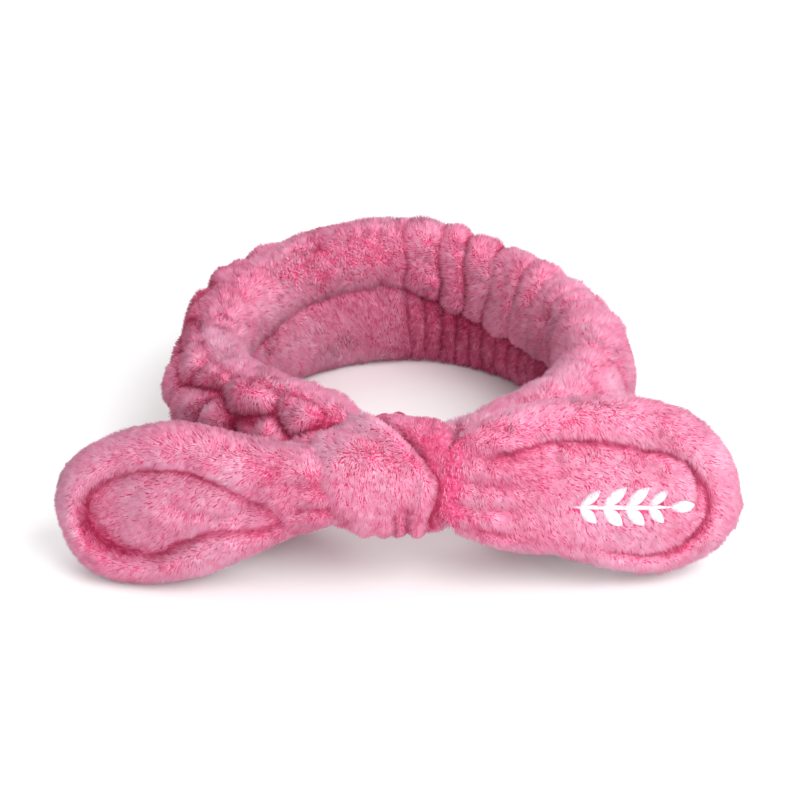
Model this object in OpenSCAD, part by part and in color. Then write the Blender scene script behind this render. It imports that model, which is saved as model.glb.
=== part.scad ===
// Spa headband: a gathered plush tube on an elastic, closed at the front by a
// wrapped knot that holds two padded, topstitched ears.
// Units are millimetres. +X is to the wearer's side of the embroidered ear, +Y is
// to the back of the head, +Z is up. The origin is the middle of the head opening,
// in the plane that the band rests on.

/* [Band] */
// Radius of the head opening, to the inner wall of the relaxed band
opening_r = 60; // [54:1:70]
// Thickness of the gathered tube, inner wall to outer wall
tube_t = 26; // [22:1:30]
// Height of the band
band_h = 60; // [54:1:66]
// Thickness of the plush fabric, pile included
plush_t = 3; // [2:0.5:4]
// Angle from the front at which the tube starts to narrow towards the knot
taper_start = 38; // [34:1:46]
// Movement gap between the front and the rear half of the band
half_gap = 0.4; // [0.3:0.1:0.8]

/* [Elastic] */
// Width of the flat woven elastic
elastic_w = 18; // [14:1:20]
// Thickness of the elastic
elastic_t = 0.8; // [0.6:0.1:1]

/* [Knot] */
// Width of the wrapped knot, from side to side
knot_w = 39; // [34:1:44]
// Radius of the wrapped knot at its middle
knot_r = 21; // [19:0.5:23]
// Radius of the gathered bow middle inside the wrap
core_r = 13.7; // [12.5:0.1:14.5]
// Height of the knot's axis above the resting plane
knot_z = 36; // [32:1:40]

/* [Ears] */
// Radius of the round tip end of an ear
tip_r = 28; // [25:0.5:28]
// Distance from the lift pivot to the centre of the tip end
tip_x = 45; // [42:1:50]
// Thickness of an ear at its rolled border
ear_t = 14; // [12:1:16]
// Width of the rolled border, from the edge to the topstitch line
border_w = 12; // [9:1:13]
// Depth of the quilted middle below the rolled border
recess_d = 2.4; // [1:0.2:3]
// Angle by which the ears lean back from upright
lean = 12; // [8:1:16]
// Angle by which the ears sweep back round the head
sweep = 9; // [5:1:12]
// Angle by which the ears droop from the knot to the tip
droop = 6; // [4:1:6]

/* [Hidden] */

// Colours of the real materials
PLUSH = [0.90, 0.47, 0.62];
PLUSH_DEEP = [0.86, 0.40, 0.55];
THREAD = [0.82, 0.30, 0.47];
WHITE = [0.96, 0.96, 0.95];
ELASTIC = [0.93, 0.92, 0.90];

// Band, worked out from the driving sizes
tube_mid = opening_r + tube_t / 2;
outer_r = opening_r + tube_t;
top_round = tube_t / 2;
foot_round = 6;
far = 200;
slice = 0.2;
seam_w = 5;
seam_t = 2;
seam_clear = 0.3;

// Narrowed arms between the full tube and the knot
arm_mid_angle = taper_start - 12;
arm_mid_w = tube_t * 0.78;
arm_mid_h = band_h * 0.73;
arm_end_angle = 15;
arm_end_w = 14;
arm_end_h = 30;
arm_round = 6;
arm_end_r = 71;
knot_gap = 0.2;

// Elastic: its radius, its height in the tube and the lap at the knot
elastic_r = 69.6;
elastic_z = 35;
lap_angle = 8;
channel_clear = 0.2;
stitch_room = 0.6;
stitch_r = 0.25;
stitch_count = 5;
stitch_step = 2.6;
stitch_slant = 28;

// Knot
knot_y = -77;
knot_end_r = knot_r - 4;
knot_shoulder = 5;
knot_back_y = -58;
wrap_clear = 0.3;
core_short = 1;
overlap_t = 2.6;
overlap_x = 3;
overlap_from = 150;
overlap_to = 285;
tack_r = 0.5;
tack_l = 8;

// Ears: pivots, outline circles and layers, in the ear's own frame
swing_x = 26;
swing_y = -87;
swing_z = 34;
swing_r = 6.3;
swing_h = 18;
lift_x = 11;
disc_r = 10.4;
disc_gap = 0.4;
neck_block_h = 15;
root_x = 5;
neck_x = 6;
neck_r = 12.5;
mid_x = 22;
mid_r = 22.5;
root_share = 0.35;
panel_gap = 0.3;
cavity_edge = 3;
cavity_depth = 3;
rim_steps = [[0, 0], [0.5, 0.7], [0.8, 2.2], [1, 2.2]];
thread_w = 0.8;
thread_t = 0.5;
edge_seam_w = 2.5;

// Embroidered sprig: stem, paired leaves and a bud
sprig_x0 = 18;
sprig_x1 = 57;
sprig_h = 0.8;
leaf_l = 9;
leaf_w = 4;
leaf_pairs = 4;
leaf_angle = 42;
stem_w = 1.2;
backing_margin = 1.5;

ring_fn = 128;
knot_fn = 96;

// ---- Band ----------------------------------------------------------------

// Section of the tube: round top, flat foot with rounded corners
module tube_section(inset) {
    translate([tube_mid, band_h - top_round])
        circle(r = top_round - inset, $fn = 64);
    translate([opening_r + inset, foot_round])
        square([tube_t - 2 * inset, band_h - top_round - foot_round]);
    translate([opening_r + foot_round, inset])
        square([tube_t - 2 * foot_round, foot_round]);
    for (side = [opening_r + foot_round, outer_r - foot_round])
        translate([side, foot_round])
            circle(r = foot_round - inset, $fn = 48);
}

// Arc of a section about the head opening, from one azimuth to another
module arc(from, to) {
    rotate([0, 0, from])
        rotate_extrude(angle = to - from, $fn = ring_fn)
            children();
}

module hollow_tube() {
    difference() {
        tube_section(0);
        tube_section(plush_t);
    }
}

module rounded_rect(w, h, r) {
    square([w - 2 * r, h], center = true);
    square([w, h - 2 * r], center = true);
    for (sx = [-1, 1], sy = [-1, 1])
        translate([sx * (w / 2 - r), sy * (h / 2 - r)])
            circle(r = r, $fn = 32);
}

// Thin upright slice of an arm, at an angle from the front
module arm_slice(angle, radius, z, w, h) {
    rotate([0, 0, -90 + angle])
        translate([radius, slice / 2, z])
            rotate([90, 0, 0])
                linear_extrude(slice)
                    rounded_rect(w, h, arm_round);
}

// One narrowed arm, from the full tube to the knot; side is 1 or -1
module arm(side) {
    mid_z = (band_h / 2 + elastic_z) / 2;
    hull() {
        arm_slice(side * taper_start, tube_mid, band_h / 2, tube_t - 1, band_h - 1);
        arm_slice(side * arm_mid_angle, tube_mid - 1, mid_z, arm_mid_w, arm_mid_h);
    }
    hull() {
        arm_slice(side * arm_mid_angle, tube_mid - 1, mid_z, arm_mid_w, arm_mid_h);
        arm_slice(side * arm_end_angle, arm_end_r, elastic_z, arm_end_w, arm_end_h);
    }
}

module elastic_channel(extra) {
    arc(-90 - taper_start - 2, -90 + taper_start + 2)
        translate([elastic_r - channel_clear, elastic_z - elastic_w / 2 - channel_clear])
            square([elastic_t + 2 * channel_clear + extra, elastic_w + 2 * channel_clear]);
}

module split_gap() {
    cube([3 * far, half_gap, far], center = true);
}

module band_cover_front() {
    color(PLUSH)
        difference() {
            union() {
                arc(-180, -90 - taper_start) hollow_tube();
                arc(-90 + taper_start, 0) hollow_tube();
                arm(1);
                arm(-1);
            }
            split_gap();
            elastic_channel(0);
            cube([knot_w + 2 * knot_gap, far, far], center = true);
        }
}

module band_cover_rear() {
    color(PLUSH)
        difference() {
            arc(0, 180) hollow_tube();
            split_gap();
        }
}

module elastic_section(layers) {
    translate([elastic_r, elastic_z - elastic_w / 2])
        square([layers * elastic_t, elastic_w]);
}

// The front half passes through the knot, where its two ends lap
module band_elastic_front() {
    color(ELASTIC)
        difference() {
            union() {
                arc(-180, -90 - lap_angle) elastic_section(1);
                arc(-90 - lap_angle, -90 + lap_angle) elastic_section(2);
                arc(-90 + lap_angle, 0) elastic_section(1);
            }
            split_gap();
        }
}

module band_elastic_rear() {
    color(ELASTIC)
        difference() {
            arc(0, 180) elastic_section(1);
            split_gap();
        }
}

// Turned-in allowance of the tube's long seam, low inside the tube
module seam_section() {
    translate([opening_r + foot_round + 0.5, plush_t + seam_clear])
        square([seam_w, seam_t]);
}

module band_seam_front() {
    color(THREAD)
        difference() {
            union() {
                arc(-180, -90 - taper_start - 1) seam_section();
                arc(-90 + taper_start + 1, 0) seam_section();
            }
            split_gap();
        }
}

module band_seam_rear() {
    color(THREAD)
        difference() {
            arc(0, 180) seam_section();
            split_gap();
        }
}

// Slanted stitches across the lap of the elastic
module elastic_stitch() {
    color(THREAD)
        for (i = [0 : stitch_count - 1])
            rotate([0, 0, (i - (stitch_count - 1) / 2) * stitch_step])
                translate([0, -(elastic_r + 2 * elastic_t + stitch_r + 0.05), elastic_z])
                    rotate([0, (i % 2 == 0 ? 1 : -1) * stitch_slant, 0])
                        cylinder(r = stitch_r, h = elastic_w * 0.7, center = true, $fn = 16);
}

// ---- Knot ----------------------------------------------------------------

// A solid of revolution about the knot's axis, which runs from side to side
module about_knot_axis() {
    translate([0, knot_y, knot_z])
        rotate([0, 90, 0])
            rotate_extrude($fn = knot_fn)
                children();
}

// Half section of the wrap, swollen in the middle; first coordinate is radius
module wrap_section(grow) {
    half = knot_w / 2;
    polygon(concat(
        [[core_r + wrap_clear, -half], [knot_end_r + grow - knot_shoulder / 2, -half]],
        [for (i = [1 : 15])
            let (t = -1 + 2 * i / 16)
            [knot_end_r + grow + (knot_r - knot_end_r) * (1 - t * t * t * t), t * (half - 0.6)]],
        [[knot_end_r + grow - knot_shoulder / 2, half], [core_r + wrap_clear, half]]));
}

module behind_knot() {
    translate([-far / 2, knot_back_y, 0])
        cube([far, far, far]);
}

module knot_wrap() {
    color(PLUSH_DEEP)
        difference() {
            about_knot_axis() wrap_section(0);
            behind_knot();
        }
}

// Loose end of the wrap, laid over the upper part of the knot
module knot_overlap() {
    color(PLUSH)
        translate([0, knot_y, knot_z])
            rotate([0, 90, 0])
                rotate([0, 0, overlap_from])
                    rotate_extrude(angle = overlap_to - overlap_from, $fn = knot_fn)
                        translate([knot_r + wrap_clear, overlap_x])
                            square([overlap_t, knot_w / 2 - overlap_x - 1]);
}

module knot_core() {
    color(PLUSH_DEEP)
        difference() {
            translate([0, knot_y, knot_z])
                rotate([0, 90, 0])
                    cylinder(r = core_r, h = knot_w - 2 * core_short, center = true, $fn = knot_fn);
            elastic_channel(elastic_t + stitch_room);
        }
}

// Two crossed hand stitches that close the wrap behind
module knot_tack() {
    color(THREAD)
        for (slant = [-1, 1])
            translate([slant * tack_l / 2, knot_back_y + tack_r + 0.05, knot_z + core_r - 2])
                rotate([0, slant * 40, 0])
                    cylinder(r = tack_r, h = tack_l, center = true, $fn = 16);
}

// ---- Ears ----------------------------------------------------------------

// Places children in an ear's frame: X along the ear from the swing pivot, Z across it
module ear_frame(side) {
    mirror([side < 0 ? 1 : 0, 0, 0])
        translate([swing_x, swing_y, swing_z])
            rotate([0, 0, sweep])
                rotate([-lean, 0, 0])
                    children();
}

// Frame of the panel: origin at the lift pivot, drooped
module panel_frame(side) {
    ear_frame(side)
        translate([lift_x, 0, 0])
            rotate([0, droop, 0])
                children();
}

function arc_points(cx, r, from, to, steps) =
    [for (i = [0 : steps]) let (a = from + (to - from) * i / steps) [cx + r * cos(a), r * sin(a)]];

tip_angle = 90 + asin((tip_r - mid_r) / (tip_x - mid_x));
mid_angle = 90 + asin((mid_r - neck_r) / (mid_x - neck_x));

// Leaf outline made of three tangent circles, drawn in by inset
function ear_outline(inset) = concat(
    arc_points(tip_x, tip_r - inset, -tip_angle, tip_angle, 40),
    arc_points(mid_x, mid_r - inset, tip_angle, mid_angle, 4),
    arc_points(neck_x, neck_r - inset, mid_angle, 360 - mid_angle, 16),
    arc_points(mid_x, mid_r - inset, 360 - mid_angle, 360 - tip_angle, 4));

module ear_shape(inset) {
    difference() {
        intersection() {
            polygon(ear_outline(inset));
            translate([root_x + inset * root_share, -far / 2])
                square([far, far]);
        }
        circle(r = disc_r + disc_gap + inset * root_share, $fn = 64);
    }
}

// Flat layer of a 2D shape between two depths, front to back
module layer(y0, y1) {
    translate([0, y1, 0])
        rotate([90, 0, 0])
            linear_extrude(y1 - y0)
                children();
}

// One plush face of an ear, rounded at the edge in steps of depth and inset
module plush_panel() {
    half = ear_t / 2;
    difference() {
        union()
            for (i = [0 : len(rim_steps) - 2])
                layer(-half * rim_steps[i + 1][0], i == 0 ? -panel_gap : -half * rim_steps[i][0])
                    ear_shape(rim_steps[i][1]);
        layer(-half - 1, -half + recess_d)
            ear_shape(border_w);
        layer(-cavity_depth, 1)
            difference() {
                ear_shape(cavity_edge);
                ear_shape(border_w - 1);
            }
    }
}

module ear_panel(side, back) {
    panel_frame(side)
        mirror([0, back ? 1 : 0, 0])
            plush_panel();
}

// Turned seam allowance and wadding that fill the rolled border
module ear_wadding(side) {
    panel_frame(side)
        layer(-cavity_depth + 0.2, cavity_depth - 0.2)
            difference() {
                ear_shape(cavity_edge + 0.2);
                ear_shape(border_w - 1.2);
            }
}

// Topstitch thread on both faces, just inside the rolled border
module ear_topstitch(side) {
    panel_frame(side)
        for (back = [0, 1])
            mirror([0, back, 0])
                layer(-ear_t / 2 + recess_d - thread_t, -ear_t / 2 + recess_d)
                    difference() {
                        ear_shape(border_w + 0.1);
                        ear_shape(border_w + 0.1 + thread_w);
                    }
}

// Thread of the seam that joins the two faces at the edge
module ear_edge_seam(side) {
    panel_frame(side)
        layer(-panel_gap, panel_gap)
            difference() {
                ear_shape(0);
                ear_shape(edge_seam_w);
            }
}

// Gathered neck: a post that swings beside the knot and a disc that the ear lifts about
module ear_neck(side) {
    ear_frame(side) {
        cylinder(r = swing_r, h = swing_h, center = true, $fn = 64);
        translate([0, -ear_t / 2 + 1, -neck_block_h / 2])
            cube([lift_x, ear_t - 2, neck_block_h]);
        translate([lift_x, 0, 0])
            rotate([90, 0, 0])
                cylinder(r = disc_r, h = ear_t - 1, center = true, $fn = 64);
    }
}

module ear_left_neck() color(PLUSH_DEEP) ear_neck(-1);
module ear_right_neck() color(PLUSH_DEEP) ear_neck(1);
module ear_left_front() color(PLUSH) ear_panel(-1, false);
module ear_right_front() color(PLUSH) ear_panel(1, false);
module ear_left_back() color(PLUSH) ear_panel(-1, true);
module ear_right_back() color(PLUSH) ear_panel(1, true);
module ear_left_wadding() color(WHITE) ear_wadding(-1);
module ear_right_wadding() color(WHITE) ear_wadding(1);
module ear_left_topstitch() color(THREAD) ear_topstitch(-1);
module ear_right_topstitch() color(THREAD) ear_topstitch(1);
module ear_left_edge_seam() color(THREAD) ear_edge_seam(-1);
module ear_right_edge_seam() color(THREAD) ear_edge_seam(1);

// ---- Embroidery ----------------------------------------------------------

// Leaf with two pointed ends, from the overlap of two circles
module leaf() {
    r = (leaf_l * leaf_l / 4 + leaf_w * leaf_w / 4) / leaf_w;
    translate([leaf_l / 2, 0])
        intersection() {
            translate([0, r - leaf_w / 2]) circle(r = r, $fn = 96);
            translate([0, leaf_w / 2 - r]) circle(r = r, $fn = 96);
        }
}

module sprig() {
    span = sprig_x1 - sprig_x0;
    translate([sprig_x0, -stem_w / 2]) square([span - leaf_l, stem_w]);
    translate([sprig_x1 - leaf_l - 0.5, 0]) leaf();
    for (i = [0 : leaf_pairs - 1], side = [-1, 1])
        translate([sprig_x0 + 2 + i * (span - leaf_l - 4) / leaf_pairs, 0])
            rotate(side * leaf_angle)
                leaf();
}

module motif() {
    color(WHITE)
        panel_frame(1)
            layer(-ear_t / 2 + recess_d - sprig_h, -ear_t / 2 + recess_d)
                sprig();
}

// Stabiliser sheet inside the ear, behind the embroidery
module motif_backing() {
    reach = leaf_l * sin(leaf_angle) + backing_margin;
    color(WHITE)
        panel_frame(1)
            layer(-panel_gap, panel_gap)
                translate([sprig_x0 - backing_margin, -reach])
                    square([sprig_x1 - sprig_x0 + 2 * backing_margin, 2 * reach]);
}

band_cover_front();
band_cover_rear();
band_elastic_front();
band_elastic_rear();
band_seam_front();
band_seam_rear();
elastic_stitch();
knot_wrap();
knot_overlap();
knot_core();
knot_tack();
ear_left_neck();
ear_left_front();
ear_left_back();
ear_left_wadding();
ear_left_topstitch();
ear_left_edge_seam();
ear_right_neck();
ear_right_front();
ear_right_back();
ear_right_wadding();
ear_right_topstitch();
ear_right_edge_seam();
motif();
motif_backing();
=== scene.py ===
"""Looks for the spa headband: plush built as real pile on modelled, puffed fabric surfaces."""
import math

import bmesh
import bpy
import numpy as np
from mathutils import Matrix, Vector


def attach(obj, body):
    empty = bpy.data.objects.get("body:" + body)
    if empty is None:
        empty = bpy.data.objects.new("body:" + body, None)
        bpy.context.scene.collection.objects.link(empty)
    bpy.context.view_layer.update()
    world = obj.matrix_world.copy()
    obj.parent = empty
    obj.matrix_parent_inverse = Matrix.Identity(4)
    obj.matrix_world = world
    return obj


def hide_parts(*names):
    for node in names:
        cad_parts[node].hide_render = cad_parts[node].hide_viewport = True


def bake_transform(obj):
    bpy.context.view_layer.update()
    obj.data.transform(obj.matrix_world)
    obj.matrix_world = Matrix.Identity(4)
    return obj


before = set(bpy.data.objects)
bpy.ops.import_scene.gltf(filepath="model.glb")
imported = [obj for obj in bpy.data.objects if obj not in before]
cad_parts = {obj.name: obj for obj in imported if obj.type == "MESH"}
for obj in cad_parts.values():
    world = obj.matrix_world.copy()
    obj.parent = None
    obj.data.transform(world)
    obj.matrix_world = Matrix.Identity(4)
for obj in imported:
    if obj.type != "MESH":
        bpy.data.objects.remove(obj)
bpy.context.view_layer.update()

MM = 0.001

# ---- Camera, stage and light ----

TARGET = Vector((-1.5, 0.0, 19.3)) * MM
ELEVATION = math.radians(30)
DISTANCE = 0.6
LENS = 72.9
FLOOR_HALF = 3.0
FLOOR_DROP = 0.0004
FLOOR_COLOUR = (0.93, 0.93, 0.93, 1)
WORLD_COLOUR = (1.0, 1.0, 1.0, 1)
WORLD_STRENGTH = 0.62
# Round lamps: name, size, power and place, in metres and watts
LAMPS = [("key", 0.9, 11.0, (0.60, -0.55, 0.85)),
         ("front", 1.0, 6.5, (-0.1, -1.2, 0.50)),
         ("top", 1.2, 5.0, (-0.2, 0.6, 1.2))]


def add_object(name, data):
    obj = bpy.data.objects.new(name, data)
    bpy.context.scene.collection.objects.link(obj)
    return obj


def make_camera():
    data = bpy.data.cameras.new("camera")
    data.lens = LENS
    data.sensor_width = 36
    data.clip_start = 0.01
    cam = add_object("camera", data)
    back = Vector((0, -math.cos(ELEVATION), math.sin(ELEVATION)))
    cam.location = TARGET + back * DISTANCE
    cam.rotation_euler = back.to_track_quat("Z", "Y").to_euler()
    bpy.context.scene.camera = cam


def make_lamp(name, size, power, place):
    data = bpy.data.lights.new(name, "AREA")
    data.shape = "DISK"
    data.size = size
    data.energy = power
    lamp = add_object(name, data)
    lamp.location = place
    lamp.rotation_euler = (Vector(place) - TARGET).to_track_quat("Z", "Y").to_euler()


def make_floor():
    mesh = bpy.data.meshes.new("floor")
    corners = [(x * FLOOR_HALF, y * FLOOR_HALF, 0) for x, y in ((-1, -1), (1, -1), (1, 1), (-1, 1))]
    mesh.from_pydata(corners, [], [(0, 1, 2, 3)])
    floor = add_object("floor", mesh)
    floor.location.z = -FLOOR_DROP
    mat, _, _ = principled("floor", Base_Color=FLOOR_COLOUR, Roughness=0.6, Specular_IOR_Level=0.2)
    mesh.materials.append(mat)


def make_stage():
    scene = bpy.context.scene
    scene.view_settings.view_transform = "Standard"
    make_floor()
    world = bpy.data.worlds.new("world")
    world.use_nodes = True
    background = world.node_tree.nodes["Background"]
    background.inputs["Color"].default_value = WORLD_COLOUR
    background.inputs["Strength"].default_value = WORLD_STRENGTH
    scene.world = world
    for lamp in LAMPS:
        make_lamp(*lamp)


# ---- Numbers: noise, curves and grids ----

CURVE_STEPS = 24


def lattice(i, j, k, seed):
    """A number from 0 to 1 for each whole-number place."""
    h = (i.astype(np.uint32) * np.uint32(374761393) + j.astype(np.uint32) * np.uint32(668265263)
         + k.astype(np.uint32) * np.uint32(2246822519) + np.uint32((seed * 3266489917) % 4294967296))
    h = (h ^ (h >> np.uint32(13))) * np.uint32(1274126177)
    h = (h ^ (h >> np.uint32(16))) * np.uint32(2654435761)
    return (h ^ (h >> np.uint32(15))).astype(np.float64) / 4294967295.0


def noise(points, size, seed):
    """Smooth noise from -1 to 1, with features about size across."""
    p = np.asarray(points, float) / size + 1000.0
    cell = np.floor(p).astype(np.int64)
    f = p - cell
    f = f * f * f * (f * (f * 6 - 15) + 10)
    total = np.zeros(p.shape[:-1])
    for dx in (0, 1):
        for dy in (0, 1):
            for dz in (0, 1):
                w = np.abs(1 - dx - f[..., 0]) * np.abs(1 - dy - f[..., 1]) * np.abs(1 - dz - f[..., 2])
                total += w * lattice(cell[..., 0] + dx, cell[..., 1] + dy, cell[..., 2] + dz, seed)
    return 2 * total - 1


def noise_vector(points, size, seed):
    return joined(*(noise(points, size, seed + n) for n in range(3)))


def smooth(x, low, high):
    t = np.clip((np.asarray(x, float) - low) / (high - low), 0, 1)
    return t * t * (3 - 2 * t)


def between(x, start, full, fade, end):
    """0 outside start to end, and 1 from full to fade."""
    return smooth(x, start, full) * (1 - smooth(x, fade, end))


def bump(x, width):
    """1 at zero, falling away over the width."""
    return np.exp(-(x / width) ** 2)


def spline(points, count, closed=False):
    """Points evenly spaced along a Catmull-Rom curve through a few."""
    p = np.asarray(points, float)
    if closed:
        p = np.vstack([p[-1], p, p[0], p[1]])
    else:
        p = np.vstack([2 * p[0] - p[1], p, 2 * p[-1] - p[-2]])
    pieces = []
    for a, b, c, d in zip(p, p[1:], p[2:], p[3:]):
        t = np.linspace(0, 1, CURVE_STEPS, endpoint=False)[:, None]
        pieces.append(0.5 * (2 * b + (c - a) * t + (2 * a - 5 * b + 4 * c - d) * t ** 2
                             + (3 * b - a - 3 * c + d) * t ** 3))
    dense = np.vstack(pieces + ([pieces[0][:1]] if closed else [p[-2:-1]]))
    along = np.concatenate([[0], np.cumsum(np.linalg.norm(np.diff(dense, axis=0), axis=1))])
    want = np.linspace(0, along[-1], count, endpoint=not closed)
    return np.stack([np.interp(want, along, dense[:, n]) for n in range(p.shape[1])], axis=1)


def joined(*coordinates):
    """Points from coordinates of any shapes that fit."""
    return np.stack(np.broadcast_arrays(*coordinates), axis=-1)


def circle(count):
    return np.linspace(0, 2 * math.pi, count, endpoint=False)


def unit(v):
    return v / np.maximum(np.linalg.norm(v, axis=-1, keepdims=True), 1e-12)


def grid_normals(p, wrap_u, wrap_v):
    """Normals of a grid of points; u runs down the rows, v along them."""
    def step(axis, wrap):
        if wrap:
            return np.roll(p, -1, axis) - np.roll(p, 1, axis)
        return np.gradient(p, axis=axis)
    return unit(np.cross(step(0, wrap_u), step(1, wrap_v)))


def relax(p, wrap_u, wrap_v, times):
    """Softens a grid by moving each point towards the mean of its neighbours."""
    for _ in range(times):
        if wrap_u:
            up, down = np.roll(p, 1, 0), np.roll(p, -1, 0)
        else:
            up, down = np.concatenate([p[:1], p[:-1]]), np.concatenate([p[1:], p[-1:]])
        left, right = (np.roll(p, 1, 1), np.roll(p, -1, 1)) if wrap_v else (p, p)
        p = 0.5 * p + 0.125 * (up + down + left + right)
    return p


# ---- Meshes ----


def make_object(name, verts, faces, material, normals):
    """A mesh object from arrays, in millimetres in the row frame."""
    mesh = bpy.data.meshes.new(name)
    mesh.vertices.add(len(verts))
    mesh.vertices.foreach_set("co", (np.asarray(verts) * MM).astype(np.float32).ravel())
    corners = faces.shape[1]
    mesh.loops.add(faces.size)
    mesh.loops.foreach_set("vertex_index", faces.astype(np.int32).ravel())
    mesh.polygons.add(len(faces))
    mesh.polygons.foreach_set("loop_start", np.arange(0, faces.size, corners, dtype=np.int32))
    mesh.polygons.foreach_set("use_smooth", np.ones(len(faces), bool))
    mesh.update(calc_edges=True)
    mesh.materials.append(material)
    if normals is not None:
        mesh.normals_split_custom_set_from_vertices(unit(normals).tolist())
    return add_object(name, mesh)


def grid_faces(rows, cols, wrap_u, wrap_v):
    i = np.arange(rows if wrap_u else rows - 1)[:, None]
    j = np.arange(cols if wrap_v else cols - 1)[None, :]
    i2, j2 = (i + 1) % rows, (j + 1) % cols
    quads = np.stack([i * cols + j, i2 * cols + j, i2 * cols + j2, i * cols + j2], axis=-1)
    return quads.reshape(-1, 4)


class Surface:
    """A grid of points, closed along its rows, with what the pile needs to know."""

    TRAITS = ("density", "length", "depth", "comb")

    def __init__(self, points, wrap_u):
        self.points = points
        self.wrap = (wrap_u, True)
        self.normals = grid_normals(points, *self.wrap)
        rows, cols = points.shape[:2]
        self.faces = grid_faces(rows, cols, *self.wrap)
        self.turned = False
        self.density = np.ones((rows, cols))
        self.length = np.ones((rows, cols))
        # How deep each point lies in a crease or groove, which darkens its pile as painted shade
        self.depth = np.zeros((rows, cols))
        self.comb = np.zeros((rows, cols, 3))

    def turn_over(self):
        """Makes the other side the outer one."""
        self.normals = -self.normals
        self.faces = self.faces[:, ::-1]
        self.turned = not self.turned

    def face_away(self, middle):
        if ((self.points - middle) * self.normals).sum() < 0:
            self.turn_over()

    def part(self, rows):
        """The chosen rows as an open surface of their own."""
        piece = Surface(self.points[rows], False)
        if self.turned:
            piece.turn_over()
        piece.normals = self.normals[rows]
        for trait in self.TRAITS:
            setattr(piece, trait, getattr(self, trait)[rows])
        return piece


def base_mesh(name, surface, material):
    """The fabric under the pile, closed by a fan at its open ends."""
    if surface.wrap[0]:
        return make_object(name, surface.points.reshape(-1, 3), surface.faces, material, None)
    turn = -1 if surface.turned else 1
    cover = lofts(name, [surface.points[:, ::turn]], material)
    normals = surface.normals[:, ::turn].reshape(-1, 3)
    along = surface.points[-1].mean(0) - surface.points[0].mean(0)
    every = unit(np.vstack([normals, -along, along]))
    cover.data.normals_split_custom_set_from_vertices(every.tolist())
    return cover


def lofts(name, grids, material):
    """One object from several grids of rings, each capped at both ends."""
    verts, faces = [], []
    count = 0
    for grid in grids:
        rows, cols = grid.shape[:2]
        first, last = rows * cols, rows * cols + 1
        verts.append(np.vstack([grid.reshape(-1, 3), grid[0].mean(0), grid[-1].mean(0)]))
        side = grid_faces(rows, cols, False, True).tolist()
        for j in range(cols):
            k = (j + 1) % cols
            side.append([first, k, j])
            side.append([last, (rows - 1) * cols + j, (rows - 1) * cols + k])
        faces += [[v + count for v in face] for face in side]
        count += rows * cols + 2
    mesh = bpy.data.meshes.new(name)
    mesh.from_pydata((np.vstack(verts) * MM).tolist(), [], faces)
    mesh.polygons.foreach_set("use_smooth", np.ones(len(mesh.polygons), bool))
    mesh.update()
    mesh.materials.append(material)
    return add_object(name, mesh)


# A direction that no thread runs along
TUBE_SKEW = np.array([0.31, 0.23, 0.92])


def tube(path, radius, sides=8):
    """Rings of a thread along a path, tapered to its two ends."""
    path = np.asarray(path, float)
    along = unit(np.gradient(path, axis=0))
    across = unit(np.cross(along, TUBE_SKEW))
    other = np.cross(along, across)
    share = np.linspace(-1, 1, len(path))[:, None, None]
    size = radius * (1 - 0.8 * np.abs(share) ** 4)
    turn = circle(sides)[None, :, None]
    return path[:, None] + size * (np.cos(turn) * across[:, None] + np.sin(turn) * other[:, None])


# ---- Cloth ----

SWELL_FRAMES = 20
# The copy that swells is ten times as large, so that ordinary springs suit it
SWELL_MM = 0.01
# It takes one in so many of the fabric's rows and columns
SWELL_STEP = 2
FLEECE_RULES = {
    "vertex_group_mass": "held",
    "quality": 4,
    "mass": 0.3,
    "use_pressure": True,
    "uniform_pressure_force": 5.0,
    "tension_stiffness": 4,
    "compression_stiffness": 4,
    "shear_stiffness": 3,
    "bending_stiffness": 0.1,
}


def coarse_steps(count, wrap):
    steps = np.arange(0, count, SWELL_STEP)
    return steps if wrap or steps[-1] == count - 1 else np.append(steps, count - 1)


def cloth_copy(points, held, wrap):
    """A coarse closed copy of the fabric with Blender's Cloth on it."""
    rows, cols = points.shape[:2]
    faces = grid_faces(rows, cols, *wrap).tolist()
    if not wrap[0]:
        faces += [list(range(cols)), list(range(rows * cols - 1, (rows - 1) * cols - 1, -1))]
    mesh = bpy.data.meshes.new("swelling")
    mesh.from_pydata((points.reshape(-1, 3) * SWELL_MM).tolist(), [], faces)
    build = bmesh.new()
    build.from_mesh(mesh)
    bmesh.ops.recalc_face_normals(build, faces=build.faces)
    build.to_mesh(mesh)
    build.free()
    obj = add_object("swelling", mesh)
    group = obj.vertex_groups.new(name="held")
    for vertex, weight in enumerate(held.reshape(-1)):
        group.add([vertex], float(weight), "REPLACE")
    cloth = obj.modifiers.new("cloth", "CLOTH")
    cloth.point_cache.frame_start, cloth.point_cache.frame_end = 1, SWELL_FRAMES
    cloth.collision_settings.use_collision = False
    for rule, value in FLEECE_RULES.items():
        setattr(cloth.settings, rule, value)
    cloth.settings.effector_weights.gravity = 0
    return obj


def simulated(obj):
    scene = bpy.context.scene
    for frame_number in range(1, SWELL_FRAMES + 1):
        scene.frame_set(frame_number)
    swollen = obj.evaluated_get(bpy.context.evaluated_depsgraph_get()).to_mesh()
    place = np.zeros(3 * len(swollen.vertices), np.float32)
    swollen.vertices.foreach_get("co", place)
    bpy.data.objects.remove(obj)
    scene.frame_set(1)
    return place


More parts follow.
